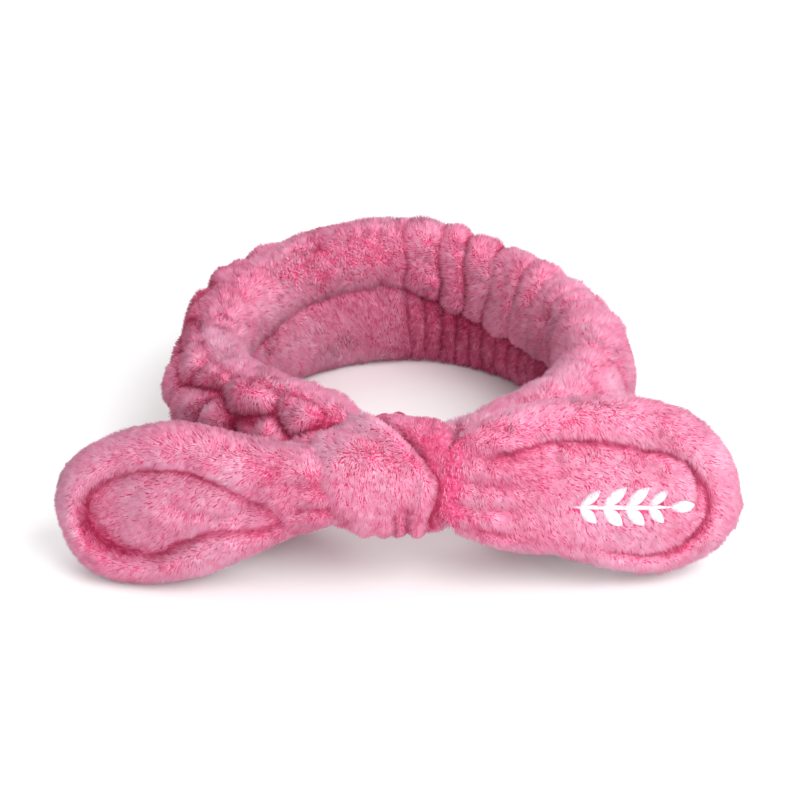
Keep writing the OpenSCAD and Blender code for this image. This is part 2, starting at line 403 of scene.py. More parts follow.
def swell(points, held, wrap, most):
    """The fabric, swollen between its sewn lines by no more than most millimetres."""
    rows, cols = points.shape[:2]
    pick_u, pick_v = coarse_steps(rows, wrap[0]), coarse_steps(cols, wrap[1])
    coarse = points[np.ix_(pick_u, pick_v)]
    place = simulated(cloth_copy(coarse, held[np.ix_(pick_u, pick_v)], wrap))
    moved = place.reshape(coarse.shape) / SWELL_MM - coarse
    far = np.linalg.norm(moved, axis=-1, keepdims=True)
    moved = moved * most * np.tanh(far / most) / np.maximum(far, 1e-9)
    moved = spread(moved, pick_u, rows, wrap[0])
    moved = spread(moved.swapaxes(0, 1), pick_v, cols, wrap[1]).swapaxes(0, 1)
    return points + relax(moved, *wrap, 1)


def spread(values, picked, count, wrap):
    """Values at the picked rows, carried to every row between."""
    if wrap:
        picked, values = np.append(picked, count), np.concatenate([values, values[:1]])
    row = np.arange(count)
    at = np.clip(np.searchsorted(picked, row, "right") - 1, 0, len(picked) - 2)
    share = ((row - picked[at]) / (picked[at + 1] - picked[at]))[:, None, None]
    return values[at] * (1 - share) + values[at + 1] * share


# ---- Pile ----

MAX_TUFTS = 48000
SHADE_STEPS = 7
# Tone of the pile: size, weight and seed of each noise in it
TONE_NOISES = [(34.0, 0.30, 5), (11.0, 0.30, 6), (1.2, 0.44, 7)]
TONE_RANDOM = 0.13
# How far crease depth darkens the pile, as painted shade
PAINTED_CREASE_SHADE = 1.35
TONE_MIDDLE = 0.51
TONE_SPREAD = 0.36
SWAY, SWAY_SIZE, CLUMP_SIZE = 0.7, 14.0, 3.0
SWAY_RANDOM = 0.12
ROOT_DEPTH = 0.3
LOWEST_TIP, LOWEST_FOOT = 0.15, 0.1
TUFT_FACES = np.array([[0, 1, 3], [1, 2, 3], [2, 0, 3], [2, 1, 0]])
# How far the normals of a tuft's sides and tip follow the fabric's
SIDE_SHADING, TIP_SHADING = 0.78, 0.75


def shade_of(root, depth, rng):
    """Each tuft's shade step, from 0 in the creases to the palest: random tone, darkened by crease depth as
    painted shade.
    """
    tone = sum(weight * noise(root, size, seed) for size, weight, seed in TONE_NOISES)
    # Painted shade: tufts deep in creases take darker steps
    tone += TONE_RANDOM * rng.normal(0, 1, len(root)) - PAINTED_CREASE_SHADE * depth
    level = (TONE_MIDDLE + TONE_SPREAD * tone) * SHADE_STEPS
    return np.clip(level, 0, SHADE_STEPS - 1).astype(int)


def scatter(surface, spacing, rng):
    """How many tufts there are, and what reads an array of the surface at their roots."""
    verts = surface.points.reshape(-1, 3)
    quads = surface.faces
    corner = verts[quads]
    diagonals = np.cross(corner[:, 2] - corner[:, 0], corner[:, 3] - corner[:, 1])
    area = 0.5 * np.linalg.norm(diagonals, axis=1)
    weight = area * surface.density.reshape(-1)[quads].mean(1)
    count = int(weight.sum() / spacing ** 2)
    pick = rng.choice(len(quads), count, p=weight / weight.sum())
    a, b = rng.random((2, count, 1))
    mix = np.stack([(1 - a) * (1 - b), a * (1 - b), a * b, (1 - a) * b], axis=1)

    def at(array):
        flat = array.reshape(len(verts), -1)
        return (flat[quads[pick]] * mix).sum(1)

    return count, at


def tuft_shapes(surface, spacing, length, seed, lean, clump, width):
    """Corners, normals and shade of each tuft, a slim spike."""
    rng = np.random.default_rng(seed)
    count, at = scatter(surface, spacing, rng)
    root, normal = at(surface.points), unit(at(surface.normals))
    depth, scale, comb = at(surface.depth)[:, 0], at(surface.length)[:, 0], at(surface.comb)
    sway = noise_vector(root, SWAY_SIZE, seed + 11) * SWAY
    sway += noise_vector(root, CLUMP_SIZE, seed + 23) * clump
    sway += rng.normal(0, SWAY_RANDOM, (count, 3)) + comb * lean
    sway -= normal * (sway * normal).sum(1, keepdims=True)
    direction = unit(normal + sway)
    size = length * scale * (0.8 + 0.4 * rng.random(count)) * (1 + 0.2 * noise(root, 2.2, seed + 31))
    side = unit(np.cross(direction, rng.normal(0, 1, (count, 3))))
    other = np.cross(direction, side)
    thick = (width * (0.7 + 0.6 * rng.random(count)))[:, None]
    foot = root - normal * ROOT_DEPTH
    tip = root + direction * size[:, None]
    tip[:, 2] = np.maximum(tip[:, 2], LOWEST_TIP)
    foot[:, 2] = np.maximum(foot[:, 2], LOWEST_FOOT)
    points, normals = [], []
    for n in range(3):
        turn = 2 * math.pi * n / 3
        out = side * math.cos(turn) + other * math.sin(turn)
        points.append(foot + out * thick)
        normals.append(unit(normal * SIDE_SHADING + out * (1 - SIDE_SHADING)))
    points.append(tip)
    normals.append(unit(normal * TIP_SHADING + direction * (1 - TIP_SHADING)))
    return np.stack(points, 1), np.stack(normals, 1), shade_of(root, depth, rng)


def pile(name, surface, shades, spacing, length, seed, lean, clump=0.5, width=0.24):
    points, normals, shade = tuft_shapes(surface, spacing, length, seed, lean, clump, width)
    made = []
    parts = math.ceil(len(points) / MAX_TUFTS)
    for part in range(parts):
        p, n = points[part::parts].reshape(-1, 3), normals[part::parts].reshape(-1, 3)
        start = 4 * np.arange(len(p) // 4)[:, None, None]
        faces = (start + TUFT_FACES).reshape(-1, 3)
        tufts = make_object(f"{name}_{part}", p, faces, shades[0], n)
        for material in shades[1:]:
            tufts.data.materials.append(material)
        index = np.repeat(shade[part::parts], len(TUFT_FACES)).astype(np.int32)
        tufts.data.polygons.foreach_set("material_index", index)
        made.append(tufts)
    return made


# ---- Materials ----

# Plush from painted shade in the depth of a crease to the palest nap, as screen values; the darkest also
# ends the random tone
PLUSH_DARK_AND_PAINTED_SHADE = (184, 46, 88)
PLUSH_MID = (233, 136, 170)
PLUSH_PALE = (247, 200, 221)
PLUSH_SHEEN = 0.14
PLUSH_SHEEN_TINT = (1.0, 0.72, 0.86, 1)
GROUND_DARK = (190, 52, 96)
GROUND_LIGHT = (224, 104, 146)
TEXTILE_BUMP = 0.0006


def principled(name, **values):
    mat = bpy.data.materials.new(name)
    mat.use_nodes = True
    shader = mat.node_tree.nodes["Principled BSDF"]
    for key, value in values.items():
        shader.inputs[key.replace("_", " ")].default_value = value
    return mat, mat.node_tree, shader


def from_screen(colour):
    """Linear colour from screen values out of 255."""
    c = np.array(colour) / 255
    return (*np.where(c <= 0.04045, c / 12.92, ((c + 0.055) / 1.055) ** 2.4), 1.0)


# Tones of the pile: the darker steps carry both random tone and painted crease shade
def plush_shades():
    shades = []
    for step in range(SHADE_STEPS):
        share = step / (SHADE_STEPS - 1)
        colour = [np.interp(share, [0, 0.5, 1], c) for c in zip(PLUSH_DARK_AND_PAINTED_SHADE, PLUSH_MID, PLUSH_PALE)]
        mat, _, _ = principled(f"plush_pile_{step}", Base_Color=from_screen(colour), Roughness=0.8,
                               Specular_IOR_Level=0.2, Sheen_Weight=PLUSH_SHEEN, Sheen_Roughness=0.4,
                               Sheen_Tint=PLUSH_SHEEN_TINT)
        shades.append(mat)
    return shades


def textile(name, dark, light, scale, strength):
    """Knit or thread: two tones mixed by fine noise, with a soft bump."""
    mat, tree, shader = principled(name, Roughness=0.9, Specular_IOR_Level=0.1)
    nodes, links = tree.nodes, tree.links
    place = nodes.new("ShaderNodeTexCoord")
    fine = nodes.new("ShaderNodeTexNoise")
    fine.inputs["Scale"].default_value = scale
    fine.inputs["Detail"].default_value = 5
    ramp = nodes.new("ShaderNodeValToRGB")
    for stop, position, colour in zip(ramp.color_ramp.elements, (0.35, 0.65), (dark, light)):
        stop.position = position
        stop.color = colour
    links.new(place.outputs["Object"], fine.inputs["Vector"])
    links.new(fine.outputs["Fac"], ramp.inputs["Fac"])
    links.new(ramp.outputs["Color"], shader.inputs["Base Color"])
    lift = nodes.new("ShaderNodeBump")
    lift.inputs["Strength"].default_value = strength
    lift.inputs["Distance"].default_value = TEXTILE_BUMP
    links.new(fine.outputs["Fac"], lift.inputs["Height"])
    links.new(lift.outputs["Normal"], shader.inputs["Normal"])
    return mat


def make_materials():
    return {
        "ground": textile("fleece_ground", from_screen(GROUND_DARK), from_screen(GROUND_LIGHT), 900, 0.8),
        "thread_pink": textile("thread_pink", (0.45, 0.05, 0.12, 1), (0.62, 0.10, 0.22, 1), 2500, 0.6),
        "elastic": textile("woven_elastic", (0.72, 0.70, 0.66, 1), (0.85, 0.84, 0.81, 1), 1800, 0.9),
        "satin": textile("satin_thread", (0.64, 0.62, 0.66, 1), (0.80, 0.79, 0.82, 1), 3000, 0.4),
    }


# ---- Band ----

RING_R = 71.5
RING_STEPS = 512
SECTION_STEPS = 176
BAND_MID_Z = 28.75
BAND_TOP_Z = 56.5
BAND_LOWEST = 0.6
KNOT_Z = 36.0
INNER_CREASE_Z = 19.5
# Section of the band, as distance out from the ring's middle line and height
SECTION = [(0, 1), (-5.5, 1.2), (-10, 3.2), (-11.4, 9), (-11.2, 15), (-10.4, 19.3), (-12.4, 25), (-13, 36),
           (-11.6, 46), (-8, 53.5), (-2, 56.5), (4, 54.5), (8.8, 49), (11.6, 41), (12.4, 31), (11, 18),
           (8.6, 7), (4.5, 1.6)]
# By degrees from the knot, positive to the right: height of the top and foot, radius added, inner crease
RING = [
    (-180, 59.5, 0, 0.5, 35),
    (-150, 57, 0, 0, 37),
    (-120, 53, 0, 0, 35),
    (-90, 52, 0, 0, 33),
    (-60, 54, 2, 0, 31),
    (-35, 58, 8, -1.5, 28),
    (0, 54, 24, 0, 24),
    (22, 47, 12, -2.5, 24),
    (45, 50, 3, -2, 25),
    (68, 53, 0, -2, 27),
    (90, 51, 0, -2.5, 29),
    (112, 50, 0, -2, 26),
    (135, 51, 0, -1, 23),
    (158, 55, 0, 0, 25),
    (180, 59.5, 0, 0.5, 35),
]
RING_TURN, RING_TOP, RING_FOOT, RING_GROWTH, CREASE_HEIGHT = zip(*RING)
RING_SOFTENING = 60
GATHERS_ROUND = 29
GATHER_JITTER = (0.7, 0.0)
PILLOWS_ROUND = 25
PILLOWS_ALONG = 5
PILLOW_JITTER = (0.45, 0.5)
PILLOW_SLANT = 1.1
PLEATS_PER_GATHER = 2.1
BAND_SWELL = 2.6


def round_ring(turn, values):
    """Smoothly interpolated values round the ring, given at RING_TURN."""
    fine = np.linspace(-180, 180, 361)
    rough = np.interp(fine, RING_TURN, values)[:-1]
    for _ in range(RING_SOFTENING):
        rough = 0.5 * rough + 0.25 * (np.roll(rough, 1) + np.roll(rough, -1))
    return np.interp(turn, fine, np.append(rough, rough[0]))


def cells(u, v, across, down, jitter, seed):
    """Irregular cells on a plane that wraps both ways: 0 on a border, about 1 inside."""
    col, row = np.floor(u).astype(np.int64), np.floor(v).astype(np.int64)
    first = np.full(u.shape, 9.0)
    second = np.full(u.shape, 9.0)
    zero = np.zeros_like(col)
    for i in (-1, 0, 1):
        for j in (-1, 0, 1):
            ci, cj = (col + i) % across, (row + j) % down
            du = u - (col + i) - 0.5 - jitter[0] * (lattice(ci, cj, zero, seed) - 0.5)
            dv = v - (row + j) - 0.5 - jitter[1] * (lattice(ci, cj, zero + 1, seed) - 0.5)
            d = np.sqrt(du ** 2 + dv ** 2)
            second = np.minimum(second, np.maximum(first, d))
            first = np.minimum(first, d)
    return second - first


def looks_in(normals, z):
    """True when the band's normals point into its tube."""
    return (normals[RING_STEPS // 2, :, 2] * (z[0] - BAND_MID_Z)).sum() < 0


class Band:
    """The band's grid, rows round the ring and columns round its section."""

    def __init__(self):
        self.theta = circle(RING_STEPS)[:, None]
        section = spline(SECTION, SECTION_STEPS, closed=True)
        self.out, self.z = section[None, :, 0], section[None, :, 1]
        self.turn = np.degrees(np.where(self.theta > math.pi, self.theta - 2 * math.pi, self.theta))
        self.set_zones(self.turn)
        self.set_crease()
        self.set_cushions()
        self.amount = self.puff_height()

    def set_zones(self, turn):
        """Shares from 0 to 1: round the ring, then round the section."""
        self.grow = np.where(turn < 0, smooth(-turn, 7, 21), smooth(turn, 9, 36))
        right = smooth(turn, 10, 50) + smooth(-turn, 176, 184)
        self.right = np.where(turn > 150, 1 - 0.5 * smooth(turn, 165, 180), right)
        self.left_front = between(-turn, 8, 25, 80, 115)
        self.left_back = between(-turn, 92, 116, 158, 176)
        self.back = smooth(np.abs(turn), 120, 165)
        self.inside = smooth(-self.out, 3, 9)
        self.outside = smooth(self.out, 0, 6)
        self.top = smooth(self.z, 47, 54)
        self.foot = 1 - smooth(self.z, 1.5, 6)

    def set_crease(self):
        """Heights shifted so that the inner crease runs where the ring's table has it."""
        crease_z = round_ring(self.turn, CREASE_HEIGHT)
        lower = self.z / INNER_CREASE_Z
        upper = (BAND_TOP_Z - self.z) / (BAND_TOP_Z - INNER_CREASE_Z)
        reach = np.minimum(lower, upper).clip(0, 1)
        self.shifted = self.z + self.inside * (crease_z - INNER_CREASE_Z) * reach
        self.over_crease = self.shifted - crease_z
        self.below = self.inside * (1 - smooth(self.over_crease, -2.0, 2.5))
        self.line = bump(self.over_crease, 2.2) * self.inside

    def set_cushions(self):
        """Pillows outside and gathers inside: gap is 0 on their borders."""
        theta, z = self.theta, self.z
        spot = joined(RING_R * np.sin(theta), -RING_R * np.cos(theta), z)
        spot[..., :2] *= (1 + self.out / RING_R)[..., None]
        warp = noise_vector(spot, 15, 3)
        broad = noise_vector(spot, 40, 6)
        around = GATHERS_ROUND * theta / (2 * math.pi) + 0.24 * warp[..., 0] + 0.42 * broad[..., 0]
        share = np.linspace(0, 1, SECTION_STEPS, endpoint=False)[None, :]
        along = PILLOWS_ALONG * share + 0.16 * warp[..., 1]
        slant = PILLOW_SLANT * self.left_front * (z - BAND_MID_Z) / BAND_TOP_Z
        pillow = cells(around * PILLOWS_ROUND / GATHERS_ROUND - slant, along, PILLOWS_ROUND, PILLOWS_ALONG,
                       PILLOW_JITTER, 52)
        gather = cells(around, np.full_like(around, 0.5), GATHERS_ROUND, 1, GATHER_JITTER, 37)
        gather = gather + 0.25 * (noise(spot, 16, 38) + 0.3).clip(0, 1)
        share = smooth(self.out, 1, 6) * 0.85 + 0.15
        self.spot = spot
        self.gap = share * pillow + (1 - share) * np.minimum(gather, 0.35 + pillow)
        self.puff = 1 - (1 - (self.gap / 0.8).clip(0, 1)) ** 2.2
        pleat = GATHERS_ROUND * PLEATS_PER_GATHER * theta / (2 * math.pi)
        pleat = pleat + 0.3 * warp[..., 2] + 0.5 * broad[..., 2]
        self.across_pleat = pleat - np.floor(pleat)

    def puff_height(self):
        """How high puffs stand outside, over the top and on the roll above the inner crease."""
        turn, top, outside = self.turn, self.top, self.outside
        roll = self.inside * smooth(self.over_crease, -1, 4)
        amount = (outside * (3.4 + 5.0 * self.left_front + 1.2 * self.back - 1.2 * smooth(turn, 30, 60))
                  + top * (1 - outside) * (1.3 + 3.0 * self.right + 0.5 * self.back - 0.7 * self.left_front)
                  + roll * (1 - top) * (0.4 + 3.9 * self.right))
        amount *= 1 - 0.45 * between(turn, 62, 80, 98, 112)
        amount *= (0.35 + 0.65 * self.grow) * (1 - 0.8 * self.foot)
        return amount * (0.75 + 0.35 * noise(self.spot, 30, 12))

    def tube(self):
        """The plain tube, without puffs, and its outward normals."""
        theta, grow = self.theta, self.grow
        foot_z, top_z = round_ring(self.turn, RING_FOOT), round_ring(self.turn, RING_TOP)
        middle = (1 - grow) * (KNOT_Z - 0.5 * (foot_z + top_z))
        high = (top_z - foot_z) / BAND_TOP_Z * (0.7 + 0.3 * grow)
        wide = 0.5 + 0.5 * grow
        recess = self.below * (0.6 + 3.6 * self.right) * (1 - 0.4 * smooth(-self.shifted, -6, 0))
        radius = RING_R + round_ring(self.turn, RING_GROWTH) + (self.out + recess) * wide
        height = 0.5 * (foot_z + top_z) + middle + (self.shifted - 0.5 * BAND_TOP_Z) * high
        points = joined(radius * np.sin(theta), -radius * np.cos(theta), height)
        normals = grid_normals(points, True, True)
        return points, -normals if looks_in(normals, self.z) else normals

    def shoulder(self):
        """The groove that parts the left front's thin rim from its pillows."""
        groove_out = 2.6 + 1.0 * noise(self.spot, 22, 33)
        return bump(self.out - groove_out, 1.5) * smooth(self.z, 44, 52)

    def lift(self):
        lift = self.amount * (self.puff - 0.55)
        fold = 1 - (2 * self.across_pleat - 1) ** 2
        pleats = self.below * (0.25 + 2.3 * self.right) * (fold ** 0.6 - 0.6)
        lift += (pleats - self.line * (0.7 + 1.6 * self.right)) * self.grow
        lift -= 2.0 * self.shoulder() * self.left_front * self.grow
        crest = bump(self.out - 7.5, 3.0) * smooth(self.z, 40, 48)
        lift += 3.4 * crest * self.left_back * (0.2 + 0.8 * self.puff)
        uneven = 1.4 * noise(self.spot, 24, 41) + 0.9 * noise(self.spot, 10, 42)
        lift += uneven * (1 - self.foot) * self.grow
        lift += (0.45 * noise(self.spot, 4.5, 43) + 0.25 * noise(self.spot, 2.4, 44)) * (1 - self.foot)
        return lift

    def held(self):
        """Where the fabric is held while it swells."""
        held = 1 - smooth(self.gap, 0.10, 0.35)
        held = np.maximum(held * smooth(self.amount, 0.8, 2.0), np.maximum(self.line, self.foot))
        return np.maximum(held, 1 - smooth(np.abs(self.turn), 14, 24))

    def painted_shade(self):
        """How much painted shade each point gets: in the creases between pillows, along the inner crease,
        in the shoulder groove and between pleats, and over the outer left side.
        """
        painted_shade = 1.2 * bump(self.gap, 0.17) * (self.amount / 4.0).clip(0, 1)
        painted_shade = painted_shade + 0.6 * self.line * (0.2 + 0.8 * self.right)
        painted_shade = painted_shade + 0.5 * self.shoulder() * self.left_front
        # Painted shade over the band's outer left side, away from the key lamp
        painted_shade = painted_shade + 0.45 * between(-self.turn, 60, 95, 158, 176) * smooth(self.out, 3, 7)
        from_fold = np.minimum(self.across_pleat, 1 - self.across_pleat)
        return painted_shade + self.below * self.right * 0.6 * bump(from_fold, 0.13)


def band_surface():
    band = Band()
    points, normals = band.tube()
    points = relax(points + normals * band.lift()[..., None], True, True, 2)
    points = swell(points, band.held(), (True, True), BAND_SWELL)
    points[..., 2] = np.maximum(points[..., 2], BAND_LOWEST)
    surface = Surface(points, True)
    if looks_in(surface.normals, band.z):
        surface.turn_over()
    painted_shade = band.painted_shade()
    # Painted shade: the pile darkens with the amount above, and on the recessed strip under the inner
    # crease, most on the right
    surface.depth = (painted_shade - 0.1 + 0.12 * band.below + 0.43 * band.below * band.right).clip(-0.3, 1.0)
    surface.length = 1 - 0.3 * painted_shade.clip(0, 1)
    # Pile is thin under the band and inside the knot
    free = smooth(np.abs(band.turn), 7, 10)
    surface.density = np.where(band.z < 1.3, 0.35, 1.0) * (0.1 + 0.9 * free)
    down = np.array([0, 0, -1.0])
    tangent = joined(np.cos(band.theta), np.sin(band.theta), 0)
    surface.comb = down * (0.7 * band.outside + 0.5 * band.inside)[..., None] + 0.4 * tangent
    return surface


ELASTIC = {"radius": 70.0, "wide": 0.8, "tall": 18.0, "ends": 0.05}
ELASTIC_Z = 35.0
SEAM = {"radius": RING_R - 1, "wide": 5, "tall": 2, "ends": 40}
SEAM_UP = 4.5
STRIP_STEPS = 241
# A strip's section about its middle, in halves of its width and height
STRIP = [(-1, -1), (0, -1.15), (1, -1), (1.15, 0), (1, 1), (0, 1.15), (-1, 1), (-1.15, 0)]


def band_ring(height, radius, wide, tall, ends):
    """Rings of a flat strip round inside the band, open by ends degrees beside the knot."""
    turn = np.linspace(ends, 360 - ends, STRIP_STEPS)[:, None]
    across, up = np.transpose(STRIP) / 2
    r = radius + across * wide
    return joined(r * np.sin(np.radians(turn)), -r * np.cos(np.radians(turn)), height(turn) + up * tall)


def elastic_height(turn):
    return ELASTIC_Z + 0 * turn


def seam_height(turn):
    return round_ring(np.where(turn > 180, turn - 360, turn), RING_FOOT) + SEAM_UP


def make_band_inside(mats):
    elastic = lofts("band_elastic", [band_ring(elastic_height, **ELASTIC)], mats["elastic"])
    seam = lofts("band_seam", [band_ring(seam_height, **SEAM)], mats["thread_pink"])
    for piece in (elastic, seam):
        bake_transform(piece)
    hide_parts("band_elastic_front", "band_elastic_rear")
    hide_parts("band_seam_front", "band_seam_rear")
    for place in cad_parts["elastic_stitch"].material_slots:
        place.material = mats["thread_pink"]


def make_band(mats, shades):
    surface = band_surface()
    made = [base_mesh("band_cover", surface, mats["ground"])]
    made += pile("band_pile", surface, shades, spacing=0.44, length=2.3, seed=100, lean=0.6)
    for piece in made:
        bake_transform(piece)
    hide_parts("band_cover_front", "band_cover_rear")


# ---- Ears ----

EAR_PIVOT = np.array([26.0, -87.0, 34.0])
LIFT_X = 11.0
LEAN, SWEEP, DROOP = (math.radians(a) for a in (12, 9, 6))
EAR_STEPS = 210
EAR_ROUND = 152
EAR_EDGE = 8.5
EAR_SWELL = 2.4
# Fabric that comes lower than this lies on the floor
FLOOR_LOW, FLOOR_SOFT = 0.8, 1.5
# Where an ear is parted from its neck, and a stretch along each piece whose ends are worked out but not
# used
SPLIT_X = 5.0
SPLIT_OVERLAP = 1.5
NECK_BLEND = (-8.0, 4.0)
EAR_BLEND = (6.0, 38.0)
ROOT_X = -8

# Outlines in an ear's own plane, X along it and Z up it; rim, panel and panel_root are half thicknesses
EARS = {
    "left": {
        "side": -1,
        "top": [(-15, 7), (0, 13), (14, 15.8), (27, 19), (40, 22.5), (51, 23.5), (63, 21), (76, 16),
                (85.5, 8.5), (90.2, -4)],
        "bottom": [(-15, -7), (0, -11), (14, -14.8), (28, -21), (43, -26.8), (57, -29.4), (68, -29.8),
                   (78, -26.5), (86, -18.5), (90.2, -4)],
        "stitch": [(13, -6.5), (21, -1), (30, 5), (41, 9.8), (51, 10.8), (62, 9.4), (72, 6), (79, -1),
                   (79.5, -9.5), (74.5, -15.5), (65, -19), (55, -18.8), (45, -14.4), (36, -11), (27, -10.4),
                   (18, -10.5)],
        "fold": [(18, -2), (30, -4.5), (42, -3.5), (52, 0.5)],
        "rim": 8.8, "panel": 3.4, "panel_root": 6.5, "groove": 1.7,
    },
    "right": {
        "side": 1,
        "top": [(-19, 4), (-12, 14), (-5, 20.5), (6, 26.5), (20, 30.4), (34, 32), (46, 32), (59, 29.6),
                (69, 24.5), (79.5, 14), (86.6, -3)],
        "bottom": [(-19, -4), (-11, -12), (-2, -16), (12, -19.6), (26, -20.8), (39, -23.6), (52, -25.8),
                   (63, -25.3), (75, -20), (83, -12.5), (86.6, -3)],
        "stitch": [(-10, 0), (-4, 12), (8, 16.6), (21, 20), (34, 20.3), (47, 18), (60, 15), (69, 7.5),
                   (72.5, -3), (70, -10), (63, -16), (53, -18.6), (40, -17), (26, -14.5), (10, -13.5),
                   (-3, -10)],
        "fold": [(64, 13), (67.5, 6), (68.5, -2)],
        "rim": 7.6, "panel": 7.2, "panel_root": 7.4, "groove": 2.3,
    },
}


def ear_to_row(local, side):
    """From an ear's own frame, X along it and Z up it, to the row frame."""
    x, y, z = local[..., 0] - LIFT_X, local[..., 1], local[..., 2]
    x, z = x * math.cos(DROOP) + z * math.sin(DROOP) + LIFT_X, z * math.cos(DROOP) - x * math.sin(DROOP)
    y, z = y * math.cos(LEAN) + z * math.sin(LEAN), z * math.cos(LEAN) - y * math.sin(LEAN)
    x, y = x * math.cos(SWEEP) - y * math.sin(SWEEP), x * math.sin(SWEEP) + y * math.cos(SWEEP)
    return (joined(x, y, z) + EAR_PIVOT) * np.array([side, 1, 1])


def ear_bow(x):
    """How far an ear's tip and root curl back, towards the head."""
    return 3.0 * ((x - 40) / 45) ** 2


def distance_to(points, curve):
    """Least distance from each 2D point to a dense curve."""
    best = np.full(len(points), 1e9)
    for at in range(0, len(points), 4000):
        part = points[at:at + 4000]
        best[at:at + 4000] = np.sqrt(((part[:, None] - curve[None]) ** 2).sum(-1)).min(1)
    return best


def inside_loop(points, loop):
    """True where a 2D point is inside a closed loop."""
    x, y = points[:, 0], points[:, 1]
    odd = np.zeros(len(points), bool)
    for (x1, y1), (x2, y2) in zip(loop, np.roll(loop, -1, 0)):
        if y1 == y2:
            continue
        odd ^= ((y1 > y) != (y2 > y)) & (x < (x2 - x1) * (y - y1) / (y2 - y1) + x1)
    return odd


def left_folds(ear, flat, signed, front):
    """How far the left ear sinks along its fold, and the painted shade along it and, on the front, in the
    scoop near the tip.
    """
    along = flat[:, 0]
    fold = bump(distance_to(flat, spline(ear["fold"], 80)), 2.4)
    fold = fold * between(along, 14, 24, 44, 56)
    painted_shade = 0.3 * fold
    if front:
        # Painted shade in the scoop near the front's tip
        painted_shade = painted_shade + 0.5 * bump(signed - 2.0, 2.6) * smooth(along, 56, 76)
    return 2.4 * fold, painted_shade


def right_folds(ear, flat):
    """The same for the short fold near the right ear's tip."""
    fold = distance_to(flat, spline(ear["fold"], 40))
    return 1.3 * bump(fold, 1.3), 0.4 * bump(fold, 1.4)


def ear_padding(ear, front, along, signed):
    """Half thickness before seams and folds; signed is the distance in from the topstitch."""
    panel = ear["panel"] + (ear["panel_root"] - ear["panel"]) * (1 - smooth(along, 20, 55))
    level = ear["rim"] + (panel - ear["rim"]) * smooth(signed, -4.5, 3.0)
    if ear["side"] < 0 and front:
        crown = smooth(signed, 3, 11) * (1 - smooth(along, 52, 74))
        scoop = smooth(along, 48, 72) * smooth(signed, -1.5, 2.5)
        level = level + 2.6 * crown - 2.6 * scoop * (1 - 0.55 * smooth(signed, 5, 13))
    return level


def stitch_strength(ear, flat):
    """How hard the topstitch pulls in."""
    along = flat[:, 0]
    if ear["side"] < 0:
        return 0.5 + 0.5 * smooth(along, 15, 28)
    return np.where(flat[:, 1] > 0, smooth(along, -6, 6), 0.25 + 0.75 * smooth(along, 30, 52))


def ear_shape(ear, front, flat):
    """Half thickness of the ear at 2D places in its plane, and how deep each is in a groove, fold or pleat,
    which sets the painted shade of its pile.
    """
    outline = np.vstack([spline(ear["top"], 260), spline(ear["bottom"], 260)])
    loop = spline(ear["stitch"], 300, closed=True)
    edge = distance_to(flat, outline)
    line = distance_to(flat, loop)
    signed = np.where(inside_loop(flat, loop), line, -line)
    along = flat[:, 0]
    spot = joined(along, flat[:, 1], 3.0 if front else 50.0)
    level = ear_padding(ear, front, along, signed)
    depth = bump(line, 1.5) * stitch_strength(ear, flat)
    level = level - ear["groove"] * depth * (0.8 + 0.5 * noise(spot, 9, 61))
    # Puckers beside the stitches, then unevenness
    pucker = np.sin(2 * math.pi * (along * 0.085 + 0.5 * noise(spot, 12, 62)))
    level = level + 0.35 * pucker * bump(line - 4, 3.0)
    level = level + 0.6 * noise(spot, 15, 63) + 0.3 * noise(spot, 6, 64) + 0.22 * noise(spot, 2.4, 65)
    sunk, painted_shade = left_folds(ear, flat, signed, front) if ear["side"] < 0 else right_folds(ear, flat)
    # Pleats that fan out of the knot
    fan = np.sin(flat[:, 1] * 0.75 + 0.8 + 0.6 * noise(spot, 9, 66)) * between(along, -16, -9, 2, 17)
    level = level - sunk + 0.8 * fan
    # The folds and the fan's valleys add painted shade to the groove depth
    depth = depth + painted_shade + 0.35 * np.maximum(-fan, 0)
    rounding = np.sqrt((1 - (1 - (edge / EAR_EDGE).clip(0, 1)) ** 2).clip(0, 1))
    narrow = smooth(along, -18, 4)
    return np.maximum(level, 1.2) * rounding * (0.55 + 0.45 * narrow), depth * rounding


def floor_rest(z):
    """Fabric that would pass the floor lies on it instead."""
    return FLOOR_LOW + FLOOR_SOFT * np.logaddexp(0, (z - FLOOR_LOW) / FLOOR_SOFT)


def ear_grid(ear):
    """Places round the ear in its plane, and which of them are on the front face."""
    top, bottom = spline(ear["top"], 400), spline(ear["bottom"], 400)
    start, tip = ear["top"][0][0], ear["top"][-1][0]
    t = np.linspace(0, 1, EAR_STEPS)
    x = start + (tip - start) * np.sin(t * math.pi / 2) ** 0.9
    x[-1] = tip - 0.05
    high = np.interp(x, top[:, 0], top[:, 1])
    low = np.interp(x, bottom[:, 0], bottom[:, 1])
    v = circle(EAR_ROUND)
    across = np.sign(np.cos(v)) * np.abs(np.cos(v)) ** 0.85
    z = (high + low)[:, None] / 2 + (high - low)[:, None] / 2 * across
    return joined(x[:, None], z), np.broadcast_to(np.sin(v) <= 0, z.shape)


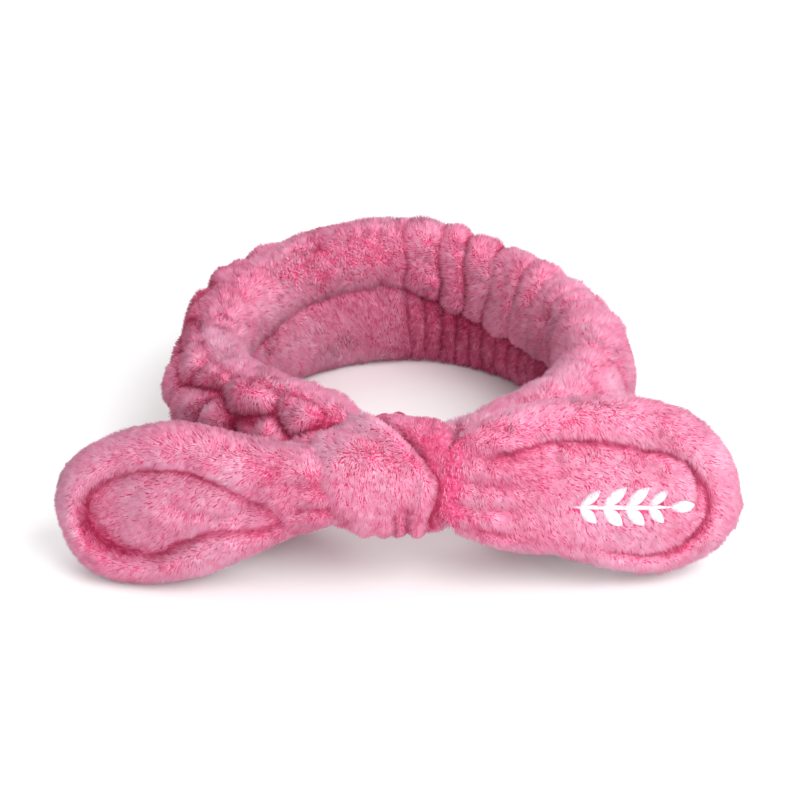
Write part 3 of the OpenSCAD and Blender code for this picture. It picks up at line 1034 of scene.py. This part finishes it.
def ear_surface(ear):
    """The ear's fabric, and its places in the ear's own frame."""
    grid, front = ear_grid(ear)
    shape = front.shape
    flat, front = grid.reshape(-1, 2), front.reshape(-1)
    thick, depth = np.zeros(len(flat)), np.zeros(len(flat))
    for face in (True, False):
        chosen = front == face
        thick[chosen], depth[chosen] = ear_shape(ear, face, flat[chosen])
    y = np.where(front, -1.0, 1.0) * thick.clip(0.1, None)
    local = joined(flat[:, 0], y, flat[:, 1]).reshape(*shape, 3)
    local[..., 1] += ear_bow(local[..., 0])
    depth = depth.reshape(shape)
    points = relax(ear_to_row(local, ear["side"]), False, True, 1)
    sewn = np.maximum(smooth(depth, 0.25, 0.7), 1 - smooth(local[..., 0], 2, 12))
    points = swell(points, sewn, (False, True), EAR_SWELL)
    points[..., 2] = floor_rest(points[..., 2])
    surface = Surface(points, False)
    surface.face_away(points.mean((0, 1)))
    # Painted shade: the pile darkens with groove depth
    surface.depth = depth * 0.8 - 0.2
    surface.length = 0.75 + 0.25 * smooth(np.abs(depth - 0.5), 0, 0.5)
    surface.density = np.where(local[..., 0] < ROOT_X, 0.1, 1.0)
    combed = ear_to_row(local + np.array([1.0, 0, -0.6]), ear["side"])
    surface.comb = combed - ear_to_row(local, ear["side"])
    return surface, local


SPRIG_FROM = 26.0
SPRIG_TO = 68.0
SPRIG_Z = -1.0
SPRIG_PAIRS = 4
LEAF_LENGTH, LEAF_WIDTH = 9.5, 4.2
LEAF_ANGLE = math.radians(42)
LEAF_STEPS, LEAF_ROUND = 46, 20
SATIN_RISE, SATIN_CROWN, SATIN_SAG, SATIN_RIDGE = 0.9, 1.1, 0.5, 0.16
STEM_R, STEM_RISE, STEM_TWIST = 0.75, 1.5, 0.12


def sprig_leaves():
    """Leaves of the sprig in the ear's plane: root, direction, length and width."""
    leaves = [(np.array([SPRIG_TO - LEAF_LENGTH, SPRIG_Z]), 0.0, LEAF_LENGTH, LEAF_WIDTH)]
    for pair in range(SPRIG_PAIRS):
        share = pair / SPRIG_PAIRS
        root = np.array([SPRIG_FROM + 2.5 + share * (SPRIG_TO - SPRIG_FROM - LEAF_LENGTH - 2), SPRIG_Z])
        size = 0.78 + 0.3 * math.sin(math.pi * (share + 0.15))
        for side in (-1, 1):
            leaves.append((root, side * LEAF_ANGLE, LEAF_LENGTH * size, LEAF_WIDTH * size))
    return leaves


def in_sprig(flat):
    """True at 2D places under the embroidery."""
    x = flat[:, 0]
    covered = (np.abs(flat[:, 1] - SPRIG_Z) < 1.0) & (x > SPRIG_FROM) & (x < SPRIG_TO - 6)
    for root, angle, length, width in sprig_leaves():
        rel = flat - root
        along = (rel[:, 0] * math.cos(angle) + rel[:, 1] * math.sin(angle)) / length * 2 - 1
        over = np.abs(-rel[:, 0] * math.sin(angle) + rel[:, 1] * math.cos(angle))
        covered |= (np.abs(along) < 1) & (over < width / 2 * (1 - along ** 2) + 0.25)
    return covered


def on_ear(ear, flat, rise, front=True):
    """Row-frame points over an ear's face at 2D places in its plane, rise above the fabric."""
    thick = ear_shape(ear, front, flat)[0]
    sign = -1.0 if front else 1.0
    y = sign * (thick + rise) + ear_bow(flat[:, 0])
    return ear_to_row(joined(flat[:, 0], y, flat[:, 1]), ear["side"])


def satin_leaf(ear, root, angle, length, width):
    """Rings of one leaf, crowned and ridged by its stitches."""
    s = np.sin(np.linspace(-math.pi / 2, math.pi / 2, LEAF_STEPS))[:, None] * 0.985
    loop = circle(LEAF_ROUND)
    half = width / 2 * (1 - s ** 2)
    x, z = np.broadcast_arrays(length / 2 * (1 + s), half * np.cos(loop))
    crown = np.sin(loop)
    height = np.where(crown > 0, SATIN_CROWN * np.abs(crown) ** 0.7, SATIN_SAG * crown)
    height = height * (half / half.max()) ** 0.4
    ridge = SATIN_RIDGE * np.sin(2 * math.pi * (x * 1.6 + np.abs(z) * 0.9)) * (crown > 0)
    px = root[0] + x * math.cos(angle) - z * math.sin(angle)
    pz = root[1] + x * math.sin(angle) + z * math.cos(angle)
    flat = joined(px, pz).reshape(-1, 2)
    return on_ear(ear, flat, SATIN_RISE + (height + ridge).reshape(-1)).reshape(*x.shape, 3)


def make_motif(ear, mats):
    """The embroidered sprig: leaves in satin stitch on a corded stem."""
    grids = [satin_leaf(ear, *leaf) for leaf in sprig_leaves()]
    stem_x = np.linspace(SPRIG_FROM, SPRIG_TO - LEAF_LENGTH + 1, 90)
    flat = joined(stem_x, SPRIG_Z)
    rope = STEM_TWIST * np.sin(2 * math.pi * stem_x * 0.9)
    grids.append(tube(on_ear(ear, flat, STEM_RISE + rope), STEM_R, 10))
    motif = lofts("embroidered_sprig", grids, mats["satin"])
    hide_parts("motif", "motif_backing")
    return motif


STITCH_EVERY, STITCH_LENGTH, STITCH_R = 3.4, 2.3, 0.35
STITCH_POINTS = 7
STITCH_BOW = 0.5


def make_topstitch(name, ear, mats):
    """Topstitches sunk in the pile along the groove, on both faces, except near the root."""
    loop = spline(ear["stitch"], 600, closed=True)
    length = np.linalg.norm(np.diff(loop, axis=0), axis=1).sum()
    grids = []
    for front in (True, False):
        for start in np.arange(0, length - STITCH_EVERY, STITCH_EVERY):
            spots = (start + np.linspace(0, STITCH_LENGTH, STITCH_POINTS)) / length * len(loop)
            flat = loop[spots.astype(int) % len(loop)]
            if flat[:, 0].min() < SPLIT_X:
                continue
            bow = STITCH_BOW * np.sin(np.linspace(0, math.pi, STITCH_POINTS))
            grids.append(tube(on_ear(ear, flat, bow, front), STITCH_R, 6))
    thread = lofts(f"{name}_topstitch", grids, mats["thread_pink"])
    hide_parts(f"ear_{name}_topstitch")
    return thread


def clear_sprig(surface, local):
    x = local[..., 0]
    front = local[..., 1] < ear_bow(x)
    covered = in_sprig(local[..., [0, 2]].reshape(-1, 2)).reshape(x.shape)
    surface.density = np.where(front & covered, 0.0, surface.density)


def plush_part(name, surface, mats, shades, seed):
    """A stretch of an ear's cover, and its pile."""
    made = [base_mesh(f"{name}_cover", surface, mats["ground"])]
    made += pile(f"{name}_pile", surface, shades, spacing=0.40, length=1.9, seed=seed, lean=0.8, clump=0.6,
                 width=0.22)
    return made


def blend_along(pieces, stretch, side):
    start, end = (tuple(ear_to_row(np.array([x, 0, 0]), side) * MM) for x in stretch)
    for piece in pieces:
        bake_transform(piece)


def make_ear(name, mats, shades, seed):
    ear = EARS[name]
    surface, local = ear_surface(ear)
    if name == "right":
        clear_sprig(surface, local)
    rows = local[:, 0, 0]
    neck = plush_part(f"{name}_neck", surface.part(rows < SPLIT_X + SPLIT_OVERLAP), mats, shades, seed)
    blend_along(neck, NECK_BLEND, ear["side"])
    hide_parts(f"ear_{name}_neck")
    pad = plush_part(f"{name}_ear", surface.part(rows > SPLIT_X - SPLIT_OVERLAP), mats, shades, seed)
    trims = [make_topstitch(name, ear, mats)]
    if name == "right":
        trims.append(make_motif(ear, mats))
    blend_along(pad + trims, EAR_BLEND, ear["side"])
    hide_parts(f"ear_{name}_front", f"ear_{name}_back", f"ear_{name}_edge_seam",
                f"ear_{name}_wadding")


# ---- Knot ----

KNOT = np.array([-3.5, -77.0, 36.3])
KNOT_LEFT = 27.0
KNOT_RIGHT = 20.5
KNOT_R = 19.0
KNOT_ROWS, KNOT_COLS = 140, 210
# The upper wrap's edge: distance along the knot at degrees round it, 0 in front and 90 on top
WRAP_EDGE = [(-120, 13), (-85, 13), (-60, 10.5), (-35, 10), (-8, 12), (20, 13), (45, 8), (70, 1), (92, -5),
             (115, -10), (150, -14)]
# Pleats of the wrap: distance along the knot underneath and in front, and how deep each is
KNOT_PLEATS = [(-7.5, -4.5, 1.0), (-1.0, 1.2, 2.0), (4.2, 4.6, 2.8), (9.6, 10.6, 1.6)]
KNOT_FLUTES = 1.1


def knot_form():
    """The knot's plain cushion, the directions out of it and the degrees round it."""
    s = np.linspace(-1, 1, KNOT_ROWS)[:, None]
    turn = circle(KNOT_COLS)[None, :]
    reach = np.where(s < 0, KNOT_LEFT, KNOT_RIGHT)
    ratio = 1 - (1 - np.abs(s)) ** 1.4
    x = np.sign(s) * reach * ratio
    sharp = np.where(s < 0, 1.9, 3.0)
    profile = (1 - ratio ** sharp).clip(0.0, 1) ** (1 / 2.4)
    r = KNOT_R * (0.34 + 0.66 * profile)
    front, up = np.cos(turn), np.sin(turn)
    deep = np.where(front > 0, 1.0, 0.92)
    points = joined(x, -r * front * deep, r * up * 1.03)
    return points, unit(joined(0.3 * x / reach, -front, up)), np.degrees(np.arctan2(up, front)) + 0 * x


def wrap_step(spot, angle):
    """The step at the upper wrap's edge: how far it lifts the fabric, and the painted shade in its crease
    and on the layer past it, under the wrap.
    """
    around, along = zip(*WRAP_EDGE)
    past = spot[..., 0] - np.interp(angle, around, along) - 0.9 * noise(spot, 12, 70)
    region = between(angle, -75, -30, 135, 165)
    lift = -4.6 * smooth(past, -1.4, 1.6) * region + 1.3 * bump(past + 3.2, 2.8) * region
    lift += 3.0 * smooth(past, 2, 7) * smooth(angle, 40, 75) * region
    # Painted shade in the crease at the edge, and over the fabric past it, under the wrap
    painted_shade = 0.9 * bump(past - 1.2, 1.8) * region + 0.6 * smooth(past, 0, 2) * region
    return lift, painted_shade


def wrap_pleats(spot, angle):
    """The pleats' valleys in front and underneath."""
    fade = smooth(-angle, -14, 24) * (1 - 0.45 * smooth(-angle, 45, 80)) * (1 - smooth(-angle, 120, 160))
    share = smooth(-angle, -5, 80)
    wander = 1.3 * noise(spot, 11, 71)
    total = np.zeros(angle.shape)
    for under, ahead, deepest in KNOT_PLEATS:
        line = under * share + ahead * (1 - share) + wander
        total += deepest * np.exp(-np.abs((spot[..., 0] - line) / 1.6) ** 1.6) * fade
    return total


def knot_surface():
    spot, normal, angle = knot_form()
    lift, painted_shade = wrap_step(spot, angle)
    valleys = wrap_pleats(spot, angle)
    flutes = np.sin(spot[..., 0] * KNOT_FLUTES + noise(spot, 9, 75)) * smooth(np.abs(angle), 120, 150)
    tuck = bump(spot[..., 0] + 17, 3.2) * bump(angle + 42, 17)
    lift += 0.9 * flutes - valleys - 4.0 * tuck
    lift += 1.1 * noise(spot, 16, 73) + 0.6 * noise(spot, 7, 74) + 0.3 * noise(spot, 3.5, 76)
    points = relax(spot + normal * lift[..., None], False, True, 2) + KNOT
    # Painted shade: the edge crease, the layer under the wrap, the pleats' valleys and the dark opening of
    # the tuck
    depth = painted_shade + 0.22 * valleys + 0.9 * tuck
    surface = Surface(points, False)
    surface.face_away(KNOT)
    surface.depth = depth - 0.2
    surface.length = 1 - 0.3 * depth.clip(0, 1)
    surface.comb = np.broadcast_to(np.array([-0.2, 0, -1.0]), points.shape)
    return surface


# Each stitch slants over so many rows either way, and degrees round the knot
TACK_SLANT, TACK_FROM, TACK_OVER = 11, 128, 30


def make_tack(surface, mats):
    """Two crossed hand stitches that close the wrap behind, near the top."""
    rows, cols = surface.points.shape[:2]
    threads = []
    for side in (-1, 1):
        path = []
        for t in np.linspace(0, 1, 15):
            row = rows // 2 + round(side * TACK_SLANT * (t - 0.5) * 2)
            col = round(cols * (TACK_FROM + TACK_OVER * t) / 360)
            rise = 1.5 - 1.6 * abs(2 * t - 1) ** 3
            path.append(surface.points[row, col] + surface.normals[row, col] * rise)
        threads.append(tube(path, 0.5))
    tack = lofts("knot_tack_thread", threads, mats["thread_pink"])
    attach(tack, "front")
    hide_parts("knot_tack")


def make_knot(mats, shades):
    surface = knot_surface()
    made = [base_mesh("knot_cover", surface, mats["ground"])]
    made += pile("knot_pile", surface, shades, spacing=0.40, length=1.7, seed=500, lean=0.9)
    for piece in made:
        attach(piece, "front")
    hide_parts("knot_wrap", "knot_overlap", "knot_core")
    make_tack(surface, mats)


# ---- All of it ----

make_camera()
make_stage()
MATS = make_materials()
SHADES = plush_shades()
make_band(MATS, SHADES)
make_band_inside(MATS)
make_knot(MATS, SHADES)
make_ear("left", MATS, SHADES, 300)
make_ear("right", MATS, SHADES, 400)
